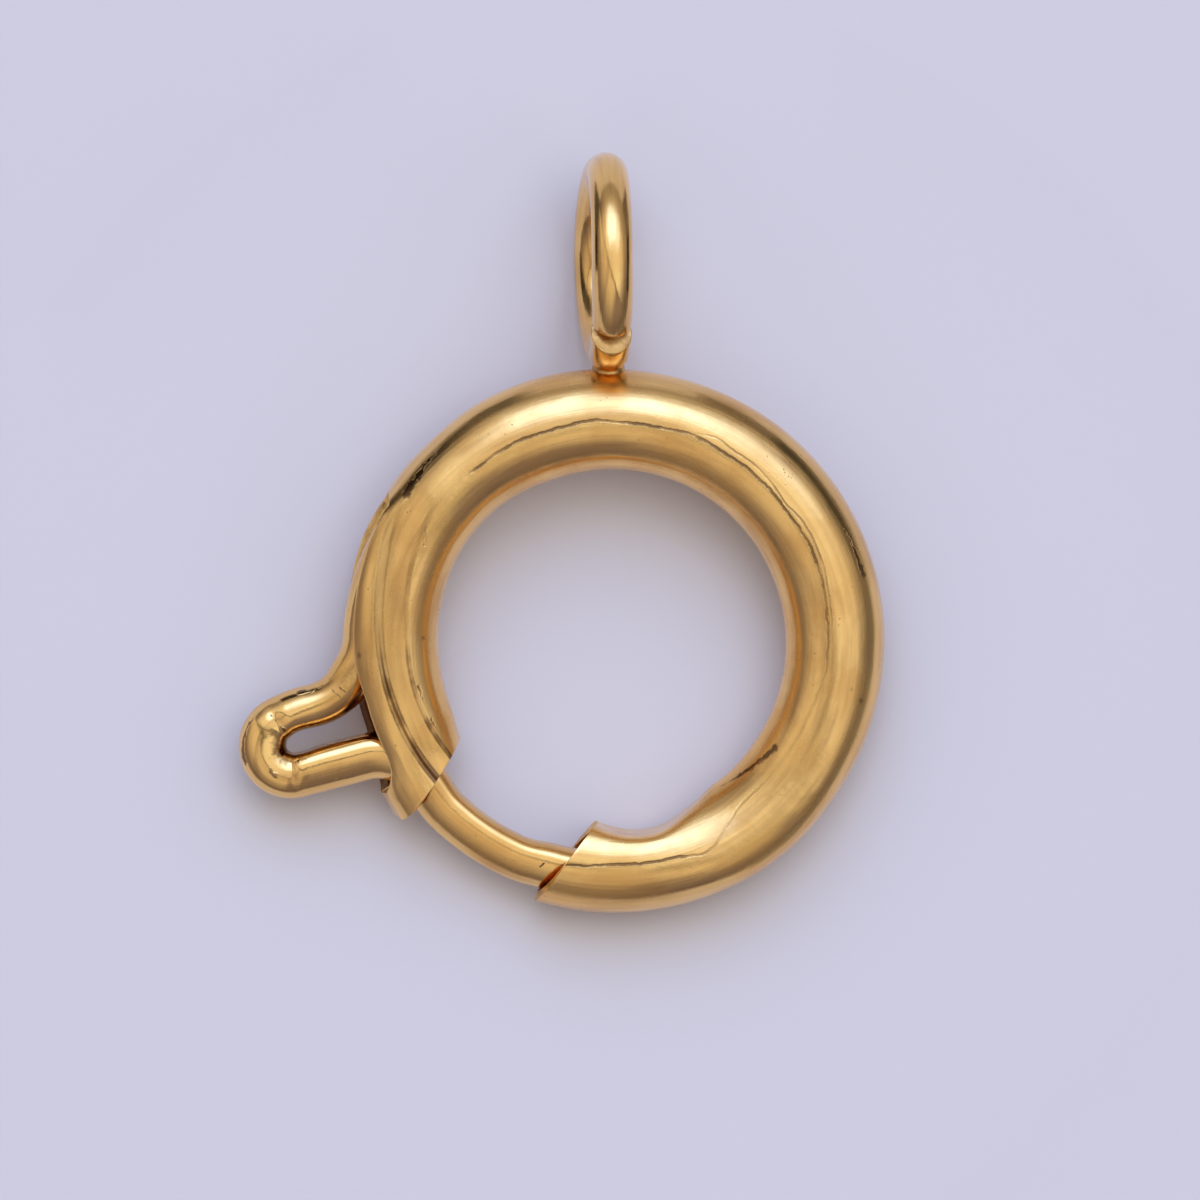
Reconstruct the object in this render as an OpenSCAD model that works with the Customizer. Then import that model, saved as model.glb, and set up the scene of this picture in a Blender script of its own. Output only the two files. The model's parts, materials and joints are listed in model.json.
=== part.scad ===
// Spring ring clasp: a hollow ring of gold-plated brass tube with an open eye soldered to it.
// A bent wire bolt slides inside the tube, closes the ring's gap and ends in a thumb loop.
// Sizes are in millimetres and angles in degrees, counter-clockwise from +X seen from above.
// The origin is the centre of the ring. The clasp lies face up on a table, resting on the rim
// opposite the eye and on the underside of the eye, so the ring is tipped a little about X.

/* [Ring] */
// Outer diameter of the ring
ring_od = 12; // [10:0.5:20]
// Outer diameter of the tube
tube_d = 2.2; // [2:0.05:2.8]
// Thickness of the tube's wall
tube_wall = 0.22; // [0.15:0.01:0.26]

/* [Gap] */
// Width of the gap between the two ends of the tube
gap_w = 3.54; // [2.5:0.01:4]
// Where round the ring the middle of the gap lies
gap_a = 237; // [234:1:240]
// How far the two parallel cuts are turned away from the spoke through the gap
gap_slant = 5; // [0:1:15]

/* [Slot] */
// Width of the slot in the outer side of the tube
slot_w = 1.5; // [1.25:0.01:1.7]
// Where round the ring the slot ends
slot_a = 146; // [140:1:150]
// Clearance between the bolt and the end of the slot beside the gap
slot_fit = 0.05; // [0.03:0.01:0.1]

/* [Crimp] */
// Where round the ring the tube is pinched to stop the spring
crimp_a = 281; // [276:1:290]
// Depth of the pinch
crimp_depth = 0.45; // [0.2:0.005:0.5]
// Radius of the round jaw that made the pinch
crimp_r = 1.75; // [1.2:0.05:2.2]

/* [Eye] */
// Outer diameter of the eye
eye_od = 4.87; // [4:0.01:7]
// Diameter of the eye's wire
eye_wire_d = 0.9; // [0.6:0.05:1.2]
// Where round the ring the eye is soldered on
eye_a = 91; // [85:1:100]
// How far the eye leans over sideways
eye_lean = 6.5; // [0:0.5:12]
// How deep the eye sits in the solder
eye_sink = 0.04; // [0.02:0.01:0.1]
// Where the eye is cut open, from its top towards the ring
eye_cut_a = 42; // [20:1:60]
// Width of the cut at the inside of the eye
eye_cut_in = 0.1; // [0.05:0.01:0.3]
// Width of the cut at the outside of the eye
eye_cut_out = 0.62; // [0.3:0.01:1]
// Radius of the solder bead between eye and ring
solder_r = 0.52; // [0.3:0.01:0.7]

/* [Bolt] */
// Diameter of the bolt's wire
wire_d = 1.05; // [0.8:0.05:1.15]
// Clearance between the wire and the outer side of the bore
wire_fit = 0.04; // [0.03:0.01:0.1]
// How far the closed bolt reaches into the far mouth of the tube
gate_lap = 0.5; // [0.3:0.05:0.9]
// Where round the ring the wire turns out of the tube towards the thumb loop
root_a = 215.7; // [212:0.1:218]
// Inside radius of that turn
root_bend = 0.675; // [0.5:0.025:0.8]
// How far the thumb loop stands out beyond the ring
loop_out = 2.67; // [2.5:0.01:3.2]
// Where round the ring the thumb loop points
loop_a = 198.2; // [196:0.1:200]
// Width of the narrow end of the hole in the thumb loop
loop_hole = 0.23; // [0.1:0.01:0.3]
// Inside radius of the turn from the thumb loop into the tail
tail_bend = 0.975; // [0.8:0.025:1.1]
// How far the tail runs on inside the tube past the end of the slot
tail_len = 1.1; // [0.5:0.05:2]
// Bevel round the two cut ends of the wire
tip_bevel = 0.12; // [0.05:0.01:0.2]
// How far the bolt turns round the ring when it is drawn back
swing = 33; // [25:1:34]
// How far the bolt drifts inwards in the slack of the bore as it is drawn back
drift = 0.25; // [0.15:0.01:0.3]

/* [Spring] */
// Outer diameter of the spring's coil
coil_d = 1.4; // [1:0.05:1.5]
// Diameter of the spring's wire
coil_wire_d = 0.25; // [0.15:0.01:0.3]
// Number of turns in the spring
coil_turns = 22; // [12:1:30]
// Clearance at each end of the spring
coil_fit = 0.06; // [0.04:0.01:0.3]

/* [Hidden] */
$fn = 96;

tube_r = tube_d / 2;
bore_r = tube_r - tube_wall;
ring_r = ring_od / 2 - tube_r;
wire_r = wire_d / 2;
eye_wire_r = eye_wire_d / 2;
eye_r = eye_od / 2 - eye_wire_r;
eye_reach = ring_od / 2 + eye_od / 2 - eye_sink;
gap_middle = polar(ring_r, gap_a);
gap_dir = gap_a - gap_slant;
crimp_reach = ring_od / 2 - tube_d + crimp_depth - crimp_r;

// The bolt is one wire of arcs and straight legs, from the gate's tip to the tail's.
// The gate rides along the outer side of the bore.
gate_r = ring_r + bore_r - wire_r - wire_fit;
gate_tip_a = gate_mouth_a() + gate_lap / gate_r * 180 / PI;
root_r = root_bend + wire_r;
root_c = polar(gate_r + root_r, root_a);
loop_r = loop_hole / 2 + wire_r;
loop_c = polar(ring_od / 2 + loop_out - loop_r - wire_r, loop_a);

// The tail is bent tighter than the tube: under the wall where the slot ends, and standing
// proud of the slot by the drift where the thumb loop starts.
tail_start_a = slot_a + swing;
tail_start_r = gate_r + drift;
tail_dir = tail_start_a + 10;
tail_off = (pow(tail_start_r, 2) - pow(gate_r, 2)) / 2
  / (tail_start_r * cos(tail_start_a - tail_dir) - gate_r * cos(slot_a - tail_dir));
tail_c = polar(tail_off, tail_dir);
tail_r = norm(polar(gate_r, slot_a) - tail_c);
tail_root_a = bearing(polar(tail_start_r, tail_start_a) - tail_c);
tail_end_a = bearing(polar(gate_r, slot_a) - tail_c) - tail_len / tail_r * 180 / PI;
tail_end = tail_c + polar(tail_r, tail_end_a);
tail_bend_r = tail_bend + wire_r;
tail_bend_c = tail_c + polar(tail_r + tail_bend_r, tail_root_a);

// The slot ends just past the place where the bolt turns out of the bore.
slot_end_a = root_a - spoke_angle(ring_r + bore_r, norm(root_c), root_bend)
  + degrees_round(slot_fit);
lower_leg_a = bearing(loop_c - root_c) + crossing(root_c, root_r, loop_c, loop_r);
upper_leg_a = bearing(tail_bend_c - loop_c) - crossing(loop_c, loop_r, tail_bend_c, tail_bend_r);
bolt_sides = 16;
bend_step = 6;

// The bends of the wire in order, each with its centre, radius, first angle and last angle;
// where one doesn't end at the start of the next, a straight leg joins them.
bolt_bends = [
  [[0, 0], gate_r, gate_tip_a, root_a],
  [root_c, root_r, root_a - 180, lower_leg_a - 90],
  [loop_c, loop_r, lower_leg_a + 90, upper_leg_a + 90],
  [tail_bend_c, tail_bend_r, upper_leg_a - 90, tail_root_a - 180],
  [tail_c, tail_r, tail_root_a, tail_end_a],
];

// The spring fills the tube from the tail's tip round to the pinch.
coil_r = (coil_d - coil_wire_d) / 2;
coil_edge = ring_r - coil_d / 2;
coil_from_a = bearing(tail_end) - degrees_round(tip_bevel + coil_wire_d / 2 + coil_fit);
coil_to_a = crimp_a - 360 + crimp_half_a() + degrees_round(coil_wire_d / 2 + coil_fit);
coil_steps = 12;
coil_sides = 6;

// At rest the rim opposite the eye and the eye's underside touch the same flat surface.
rest_tilt = asin((eye_r * cos(eye_lean) + eye_wire_r - tube_r) / (ring_r + eye_reach));

function polar(r, a) = [r * cos(a), r * sin(a)];

function bearing(v) = (atan2(v.y, v.x) + 360) % 360;

function degrees_round(l) = l / ring_r * 180 / PI;

// Angle between the line of centres of two circles and the line that touches both, crossing it
function crossing(c1, r1, c2, r2) = asin((r1 + r2) / norm(c2 - c1));

// Angle at which a circle of the gate's radius meets the cut at the far mouth of the tube
function gate_mouth_a() = gap_dir + asin((gap_w / 2 + across(gap_middle)) / gate_r);

// Distance of a point from the spoke that runs along the gap, on the far mouth's side
function across(p) = p * polar(1, gap_dir + 90);

// Half the angle over which the pinched wall reaches further out than the coil's inner edge
function crimp_half_a() = spoke_angle(coil_edge, crimp_reach, crimp_r + tube_wall);

// Angle between the spoke to the centre of a small circle and the spoke to where that circle
// meets the circle of radius r round the origin
function spoke_angle(r, reach, small_r) =
  acos((pow(r, 2) + pow(reach, 2) - pow(small_r, 2)) / (2 * r * reach));

// Everything is drawn with the ring flat and then tipped as it lies at rest.
module at_rest() {
  rotate([rest_tilt, 0, 0]) children();
}

module ring_bar(bar_r) {
  rotate_extrude() translate([ring_r, 0]) circle(r = bar_r);
}

module gap_cut() {
  translate(gap_middle) rotate([0, 0, gap_dir])
    cube([2 * tube_d, gap_w, 2 * tube_d], center = true);
}

// The slot is a window in the outer side of the tube, with a bridge left at the gap.
module slot_cut() {
  rotate([0, 0, slot_a]) rotate_extrude(angle = slot_end_a - slot_a)
    translate([ring_r + bore_r / 3, -slot_w / 2]) square([tube_d, slot_w]);
}

module crimp_jaw(r) {
  translate(polar(crimp_reach, crimp_a)) cylinder(r = r, h = 2 * tube_d, center = true);
}

// The eye is a wire ring standing across the tube, cut open on its upper side.
module eye() {
  translate(polar(eye_reach, eye_a)) rotate([0, 0, eye_a]) rotate([eye_lean, 0, 0])
    rotate([90, 0, 0]) difference() {
      rotate_extrude() translate([eye_r, 0]) circle(r = eye_wire_r);
      linear_extrude(2 * eye_wire_d, center = true) polygon([
        polar(eye_r - eye_wire_d, 90 + eye_cut_a),
        polar(eye_r + eye_wire_d, 90 + eye_cut_a),
        polar(eye_r + eye_wire_d, 90 + eye_cut_a + eye_cut_out / eye_r * 180 / PI),
        polar(eye_r - eye_wire_d, 90 + eye_cut_a + eye_cut_in / eye_r * 180 / PI),
      ]);
    }
}

module solder_bead() {
  translate(polar(ring_od / 2, eye_a)) sphere(r = solder_r);
}

module ring_case() {
  color("goldenrod") at_rest() difference() {
    union() {
      ring_bar(tube_r);
      eye();
      solder_bead();
    }
    difference() {
      ring_bar(bore_r);
      crimp_jaw(crimp_r + tube_wall);
    }
    crimp_jaw(crimp_r);
    slot_cut();
    gap_cut();
  }
}

// One section of the bolt's wire, at an angle round a bend; turn is 1 for a left bend
function wire_ring(centre, r, a, turn, section_r) = [
  for (j = [0:bolt_sides - 1])
    let (s = 360 * j / bolt_sides, p = centre + polar(r - turn * section_r * cos(s), a))
    [p.x, p.y, section_r * sin(s)]
];

function bend_rings(bend, skip) =
  let (
    sweep = bend[3] - bend[2],
    count = ceil(abs(sweep) / bend_step)
  )
  [for (i = [skip:count])
    wire_ring(bend[0], bend[1], bend[2] + sweep * i / count, sign(sweep), wire_r)];

// A cut end of the wire, one bevel beyond the end of a bend and a bevel smaller
function end_ring(bend, a, away) =
  wire_ring(bend[0], bend[1], a + away * tip_bevel / bend[1] * 180 / PI,
    sign(bend[3] - bend[2]), wire_r - tip_bevel);

function follows_on(before, bend) =
  norm(before[0] + polar(before[1], before[3]) - bend[0] - polar(bend[1], bend[2])) < 0.001;

module bolt() {
  first = bolt_bends[0];
  last = bolt_bends[len(bolt_bends) - 1];
  rings = [
    end_ring(first, first[2], 1),
    for (k = [0:len(bolt_bends) - 1])
      let (skip = k > 0 && follows_on(bolt_bends[k - 1], bolt_bends[k]) ? 1 : 0)
      each bend_rings(bolt_bends[k], skip),
    end_ring(last, last[3], -1),
  ];
  color("gold") at_rest() swept(rings);
}

module return_spring() {
  count = coil_turns * coil_steps;
  turn_out = coil_turns * 360 * coil_r;
  turn_along = (coil_to_a - coil_from_a) * ring_r;
  rings = [for (i = [0:count])
    let (
      a = coil_from_a + (coil_to_a - coil_from_a) * i / count,
      b = 360 * i / coil_steps,
      spoke = [cos(a), sin(a), 0],
      along = [-sin(a), cos(a), 0],
      out = cos(b) * spoke + sin(b) * [0, 0, 1],
      turning = cos(b) * [0, 0, 1] - sin(b) * spoke,
      heading = turn_out * turning + turn_along * along,
      side = cross(heading, out) / norm(heading),
      middle = ring_r * spoke + coil_r * out
    )
    [for (j = [0:coil_sides - 1])
      let (s = 360 * j / coil_sides)
      middle + coil_wire_d / 2 * (cos(s) * out + sin(s) * side)]];
  color("silver") at_rest() swept(rings);
}

// A closed bar through rings of points that all run the same way round
module swept(rings) {
  n = len(rings[0]);
  last = (len(rings) - 1) * n;
  sides = [for (i = [0:len(rings) - 2], j = [0:n - 1], upper = [false, true])
    let (a = i * n + j, b = i * n + (j + 1) % n)
    upper ? [b, a + n, b + n] : [a, a + n, b]];
  ends = [[for (j = [0:n - 1]) j], [for (j = [n - 1:-1:0]) last + j]];
  polyhedron(points = [for (r = rings, p = r) p], faces = concat(sides, ends));
}

ring_case();
bolt();
return_spring();
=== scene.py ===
import json
import math

import bpy
from mathutils import Matrix, Vector, noise


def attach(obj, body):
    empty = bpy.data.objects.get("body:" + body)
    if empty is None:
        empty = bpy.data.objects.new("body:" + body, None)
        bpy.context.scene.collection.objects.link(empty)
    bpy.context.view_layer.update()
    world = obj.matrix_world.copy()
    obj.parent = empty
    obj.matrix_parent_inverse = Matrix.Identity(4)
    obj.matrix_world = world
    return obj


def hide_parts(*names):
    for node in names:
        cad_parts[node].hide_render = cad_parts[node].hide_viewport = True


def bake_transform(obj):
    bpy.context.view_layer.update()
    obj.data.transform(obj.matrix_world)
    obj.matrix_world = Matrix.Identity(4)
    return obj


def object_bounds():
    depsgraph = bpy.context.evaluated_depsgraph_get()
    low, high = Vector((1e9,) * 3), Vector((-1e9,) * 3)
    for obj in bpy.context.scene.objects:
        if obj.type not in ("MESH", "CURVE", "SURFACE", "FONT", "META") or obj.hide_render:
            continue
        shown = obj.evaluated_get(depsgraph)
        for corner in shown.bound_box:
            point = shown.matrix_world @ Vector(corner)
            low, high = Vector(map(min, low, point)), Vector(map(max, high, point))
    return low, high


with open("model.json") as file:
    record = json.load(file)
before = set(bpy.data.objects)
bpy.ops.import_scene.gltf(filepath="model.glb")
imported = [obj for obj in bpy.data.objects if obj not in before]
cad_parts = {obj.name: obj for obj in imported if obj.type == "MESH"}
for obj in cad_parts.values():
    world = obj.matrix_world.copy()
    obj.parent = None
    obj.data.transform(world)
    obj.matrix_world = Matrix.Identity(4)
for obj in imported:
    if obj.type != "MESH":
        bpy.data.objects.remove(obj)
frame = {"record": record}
cad_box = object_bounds()

# The ring tube
# A length of thin gold-plated brass tube, bent round into a ring that stays open over a gap. A slot
# is pierced along its outer side for the bolt, the wall above the slot is pressed in between two
# creases, both ends are sawn off along one line, and a jaw has pinched it to stop the spring.
MM = 0.001
ring_axis = next(m["axis"] for m in frame["record"]["mounts"] if m["name"] == "ring_opening")
rest_tilt = math.atan2(-ring_axis[1], ring_axis[2])
at_rest = Matrix.Scale(MM, 4) @ Matrix.Rotation(rest_tilt, 4, "X")

ring_r = 4.9
tube_r = 1.1
tube_wall = 0.22
bore_r = tube_r - tube_wall
slot_half = 0.75
slot_from = 146.0
gap_w = 3.54
gap_middle_a = 237.0
gap_dir = 232.0

straight_from = 201.5
near_end_squeeze = 0.96
end_reach = 24.0
mouth_bulge = 1.6
far_mouth_bulge = 0.8
bridge_short = 1.1
bridge_from = 211.2
slot_start_run = 3.0
slot_tip_run = 3.8
pressed_from = 139.0
pressed_over = 18.0
crease_turn = 4.0
lip_roll = 0.34
jaw_r = 1.75
jaw_a = 281.0
jaw_depth = 0.5
jaw_reach = 1.2
jaw_slack = 0.07
jaw_slack_a = 30.0
jaw_slack_wide = 16.0
jaw_soft = 0.028
waviness = 0.006
slot_columns = 18

# The two creases of the pressed stretch, as radii from the middle of the ring
OUTER_CREASE = [
    # angle, radius
    (138, 5.62),
    (146, 5.56),
    (156, 5.43),
    (166, 5.31),
    (180, 5.17),
    (194, 5.07),
    (206, 4.99),
    (219, 4.92),
]
INNER_CREASE = [
    # angle, radius
    (138, 5.05),
    (157, 4.80),
    (168, 4.62),
    (177, 4.51),
    (194, 4.46),
    (210, 4.38),
    (219, 4.36),
]
# How far the slot's two lips were spread outwards when the bolt was put in
LOWER_LIP = [
    # angle, spread
    (142, 0.0),
    (146, 0.14),
    (150, 0.21),
    (158, 0.24),
    (168, 0.19),
    (178, 0.17),
    (188, 0.13),
    (200, 0.14),
    (204, 0.30),
    (207.4, 0.38),
    (209.5, 0.29),
    (211.2, 0.21),
    (215, 0.17),
]
UPPER_LIP = [
    # angle, spread
    (143, 0.0),
    (146, 0.06),
    (150, 0.13),
    (157, 0.13),
    (170, 0.07),
    (180, 0.03),
    (188, 0.0),
    (206, 0.0),
    (211.2, 0.19),
    (215, 0.15),
]
# The tube isn't quite round since it was bent: how much further out its outer and inner sides lie
OUTER_SWELL = [
    # angle on from the far end, offset
    (258, 0.04),
    (298, 0.07),
    (312, 0.06),
    (325, 0.01),
    (445, 0.02),
    (460, 0.07),
    (481, 0.07),
    (491, 0.0),
]
INNER_SWELL = [
    # angle on from the far end, offset
    (262, -0.05),
    (290, -0.05),
    (300, 0.02),
    (310, 0.09),
    (325, 0.05),
    (350, 0.03),
    (370, 0.0),
    (470, 0.02),
    (488, 0.10),
    (512, 0.11),
    (530, 0.08),
    (562, 0.05),
    (572, 0.0),
]
CREST_SHIFT = [
    # angle on from the far end, how far the top of the tube lies outwards
    (262, 0.0),
    (285, 0.14),
    (300, 0.38),
    (315, 0.34),
    (330, 0.22),
    (350, 0.0),
]
# Where the dark line along the top of the tube runs, and a second one beside it: painted reflection of the
# dark gap over the tube, with a slight groove in the relief
CREST_LINE = [
    # angle on from the far end, radius
    (258, 4.98),
    (270, 4.85),
    (287, 4.90),
    (294, 5.04),
    (298, 4.93),
    (302, 4.71),
    (309, 4.51),
    (321, 4.51),
    (340, 4.57),
    (353, 4.72),
    (367, 4.75),
    (385, 4.87),
    (398, 4.85),
    (410, 4.91),
    (420, 4.93),
    (430, 5.00),
    (438, 4.93),
    (450, 4.96),
    (455, 5.02),
    (461, 4.98),
    (467, 4.96),
    (475, 4.99),
    (489, 4.95),
]
SECOND_LINE = [
    # angle on from the far end, radius
    (360, 4.82),
    (375, 4.89),
    (381, 4.97),
    (394, 5.01),
    (400, 4.93),
    (406, 5.02),
    (412, 5.08),
    (419, 5.07),
    (423, 5.15),
    (432, 5.00),
]
# How strongly each of those two painted reflection lines and the painted shade along the two creases show
CREST_LINE_STRENGTH = [
    # angle on from the far end, share
    (258, 0.9),
    (295, 0.8),
    (301, 0.2),
    (350, 0.25),
    (366, 0.8),
    (487, 0.9),
    (491, 0.0),
]
SECOND_LINE_STRENGTH = [
    # angle on from the far end, share
    (364, 0.0),
    (372, 0.7),
    (420, 0.6),
    (431, 0.0),
]
# Painted shade along the two creases: how strongly it shows
FOLD_SHADE_STRENGTH = [
    # angle on from the far end, share
    (498, 0.0),
    (515, 0.35),
    (540, 0.55),
    (552, 1.0),
    (580, 1.0),
]


def clamp(x, low=0.0, high=1.0):
    return max(low, min(high, x))


def ease(x):
    x = clamp(x)
    return x * x * (3 - 2 * x)


def mix(a, b, t):
    return a + (b - a) * t


def read_off(table, x):
    """Value of a two-column table at x"""
    if x <= table[0][0]:
        return table[0][1]
    for (x0, y0), (x1, y1) in zip(table, table[1:]):
        if x <= x1:
            return mix(y0, y1, (x - x0) / (x1 - x0))
    return table[-1][1]


def smooth_read(table, x, reach=4.0):
    """The table's value with its corners rounded over a few degrees"""
    return sum(read_off(table, x + reach * (i - 2) / 2) for i in range(5)) / 5


def hump(x, middle, wide):
    """A smooth rise to 1 at the middle and back to 0"""
    return math.exp(-((x - middle) / wide) ** 2)


def polar(r, angle, z=0.0):
    turn = math.radians(angle)
    return Vector((r * math.cos(turn), r * math.sin(turn), z))


def bearing(v):
    return math.degrees(math.atan2(v.y, v.x)) % 360


def steps(first, last, count):
    return [first + (last - first) * i / count for i in range(count + 1)]


def add_marks(mesh, name, values):
    marks = mesh.attributes.new(name, "FLOAT_VECTOR", "POINT")
    marks.data.foreach_set("vector", [c for value in values for c in value])


def make_piece(name, points, faces, grain=None):
    """A smooth mesh of points drawn in millimetres with the ring lying flat, laid at rest"""
    mesh = bpy.data.meshes.new(name)
    mesh.from_pydata([at_rest @ Vector(p) for p in points], [], faces)
    if grain:
        add_marks(mesh, "grain", grain)
    mesh.shade_smooth()
    mesh.update()
    piece = bpy.data.objects.new(name, mesh)
    bpy.context.scene.collection.objects.link(piece)
    return piece


gap_across = polar(ring_r, gap_middle_a) @ polar(1, gap_dir + 90)


def sawn_at(r, side):
    """Angle where a circle of radius r meets a sawn end; side is -1 near the loop, 1 past the gap"""
    return gap_dir + 90 - math.degrees(math.acos((gap_across + side * gap_w / 2) / r))


near_end_a = sawn_at(ring_r, -1)
far_end_a = sawn_at(ring_r, 1)
jaw_c = polar(ring_r - tube_r + jaw_depth - jaw_r, jaw_a)
slot_turn = math.degrees(math.asin(slot_half / tube_r))


def tube_middle(angle):
    """The tube's middle line runs out straight towards its near end"""
    past = angle - straight_from
    return ring_r / math.cos(math.radians(past)) if 0 < past < 40 else ring_r


def tube_half(angle):
    return tube_r * mix(1, near_end_squeeze, ease((angle - 185) / 30))


def slot_round(angle):
    """Both ends of the slot are rounded: share of its width that is open at an angle round the ring"""
    at_start = clamp(1 - (angle - slot_from) / slot_start_run)
    at_end = clamp((angle - bridge_from + slot_tip_run) / slot_tip_run)
    return max(0.15, math.sqrt(1 - max(at_start, at_end) ** 2))


def lower_lip_turn(angle):
    """The slot was sawn a little high where it starts"""
    return mix(39.5, slot_turn, ease((angle - 180) / 12))


def lip_turns(angle):
    """Where the slot's lower and upper lips lie round the tube"""
    lower = lower_lip_turn(angle)
    upper = slot_turn + 8 * ease((angle - 184) / 10)
    open_share = slot_round(angle)
    return lower * open_share, upper * open_share


def section_turns(angle):
    """Angles round the tube, from the slot's lower lip over the top and back, with rows on the creases"""
    middle = tube_middle(angle)
    half = tube_half(angle)
    outer_x = (smooth_read(OUTER_CREASE, angle) - middle) / half
    inner_x = (smooth_read(INNER_CREASE, angle) - middle) / half
    outer = math.degrees(math.acos(clamp(outer_x, -1, 1)))
    inner = math.degrees(math.acos(clamp(inner_x, -1, 1)))
    lower_lip, upper_lip = lip_turns(angle)
    turns = steps(-lower_lip, upper_lip, slot_columns)
    turns += steps(upper_lip, outer, 12)[1:]
    turns += steps(outer, outer + crease_turn, 3)[1:]
    turns += steps(outer + crease_turn, inner, 12)[1:]
    turns += steps(inner, 180, 16)[1:]
    turns += steps(180, 360 - lower_lip, 28)[1:-1]
    return turns, outer, inner


def pressed(angle, turn, outer, inner, half):
    """Place in the section of a point of the pressed stretch, out from the tube's middle and up"""
    x = half * math.cos(math.radians(turn))
    z = half * math.sin(math.radians(turn))
    press = ease((angle - pressed_from) / pressed_over)
    if press == 0 or turn < slot_turn or turn > inner:
        return x, z
    crease_x = half * math.cos(math.radians(outer))
    roll_x = crease_x + lip_roll
    roll_z = math.sqrt(max(half * half - roll_x * roll_x, 0.01))
    ridge = roll_z + roll_x / roll_z * lip_roll / 2
    ridge = mix(ridge, 1.0, ease((angle - 188) / 20))
    if turn <= outer:
        if x < roll_x:
            rolled = ridge - (ridge - roll_z) * ((x - crease_x) / lip_roll) ** 2
            z = mix(z, rolled, press)
        return x, z
    inner_x = half * math.cos(math.radians(inner))
    inner_z = half * math.sin(math.radians(inner))
    floor_x = half * math.cos(math.radians(outer + crease_turn))
    along = clamp((floor_x - x) / (floor_x - inner_x))
    down = mix(0.02, 0.10, ease((angle - 168) / 34)) * ease((turn - outer) / crease_turn)
    valley = mix(ridge - down, inner_z, along) - 0.012 * 4 * along * (1 - along)
    return x, mix(z, valley, press)


def spread_out(angle, turn):
    """How far the lips, and the bridge beside the gap, are bent outwards at an angle round the tube"""
    low = turn - 360 if turn > 180 else turn
    lip = lower_lip_turn(angle)
    across = ease((low - 8) / 30)
    reach = mix(23, lip + 38, ease((angle - 203) / 5))
    below = ease((low + 88) / (88 - lip)) * (1 - ease((low + lip) / reach))
    above = across * (1 - ease((low - 50) / 30))
    return smooth_read(LOWER_LIP, angle, 1.0) * below + smooth_read(UPPER_LIP, angle, 1.0) * above


# The rows of points lie closer together where the slot's two ends are rounded
slot_wide_from = slot_from + slot_start_run + 360
slot_wide_to = bridge_from - slot_tip_run + 360
round_steps = [math.radians(9 * i) for i in range(1, 11)]
tube_angles = steps(far_end_a, slot_from + 360, 260)
tube_angles += [slot_wide_from - slot_start_run * math.cos(turn) for turn in round_steps]
tube_angles += steps(slot_wide_from, slot_wide_to, 80)[1:]
tube_angles += [slot_wide_to + slot_tip_run * math.sin(turn) for turn in round_steps]
tube_angles += steps(bridge_from + 360, near_end_a + 360, 10)[1:]
tube_points = []
tube_grain = []
line_distances = []
painted_line_strength = []
for station in tube_angles:
    angle = max(station - 360, 0)
    middle = tube_middle(angle)
    half = tube_half(angle)
    turns, outer, inner = section_turns(angle)
    far_pull = 1 - ease((station - far_end_a) / end_reach)
    near_pull = 1 - ease((near_end_a + 360 - station) / end_reach)
    crest_shift = smooth_read(CREST_SHIFT, station)
    out_push = smooth_read(OUTER_SWELL, station)
    in_push = smooth_read(INNER_SWELL, station)
    # Where the painted lines lie: the crest line and its neighbour are painted reflection, the crease
    # lines painted shade
    crest_r = smooth_read(CREST_LINE, station, 1.0)
    second_r = smooth_read(SECOND_LINE, station, 1.0)
    line_shares = (read_off(CREST_LINE_STRENGTH, station), read_off(SECOND_LINE_STRENGTH, station), read_off(FOLD_SHADE_STRENGTH, station))
    for turn in turns:
        x, z = pressed(angle, turn, outer, inner, half)
        lean = math.cos(math.radians(turn))
        if turn < 180:
            x += crest_shift * math.sin(math.radians(turn)) ** 2
        place = polar(ring_r + x, station, z)
        swell = 1 + waviness * (noise.noise(place * 0.8) + 0.35 * noise.noise(place * 2.6))
        x = x * swell + spread_out(angle, turn) + max(lean, 0) * out_push - min(lean, 0) * in_push
        z = z * swell
        r = middle + x
        skew = far_pull * (sawn_at(r, 1) - far_end_a) + near_pull * (sawn_at(r, -1) - near_end_a)
        skew += near_pull ** 2 * mouth_bulge * math.sin(math.pi * clamp((turn + 10) / 175))
        skew -= near_pull ** 2 * bridge_short * max(lean, 0) ** 6
        skew -= far_pull ** 2 * far_mouth_bulge * math.sin(math.pi * clamp((turn - 60) / 150))
        p = polar(r, station + skew, z)
        from_jaw = Vector((p.x - jaw_c.x, p.y - jaw_c.y, 0))
        reach = from_jaw.length
        if reach < jaw_r + jaw_reach:
            round_jaw = (bearing(from_jaw) - jaw_a) % 360
            pressed_r = jaw_r - jaw_slack * hump(round_jaw, jaw_slack_a, jaw_slack_wide)
            pushed = 0.5 * (reach + pressed_r + math.sqrt((reach - pressed_r) ** 2 + jaw_soft))
            p += from_jaw / reach * (pushed - reach) * (1 - ease((reach - jaw_r) / jaw_reach))
        tube_points.append(p)
        tube_grain.append((math.radians(station) * ring_r, x, z))
        out = math.hypot(p.x, p.y)
        # Distance to the nearer crease, for its line of painted shade
        to_fold = max(outer - turn, turn - outer - crease_turn, 0)
        to_fold = min(to_fold, abs(turn - inner)) * math.radians(half)
        line_distances.append((out - crest_r, out - second_r, to_fold))
        painted_line_strength.append(line_shares)

section_count = len(section_turns(0)[0])
tube_faces = []
for i in range(len(tube_angles) - 1):
    in_slot = slot_from - 0.01 < tube_angles[i] - 360 < bridge_from - 0.01
    for j in range(section_count):
        if in_slot and j < slot_columns:
            continue
        k = (j + 1) % section_count
        row = i * section_count
        ahead = row + section_count
        tube_faces.append((row + j, ahead + j, ahead + k, row + k))

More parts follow.
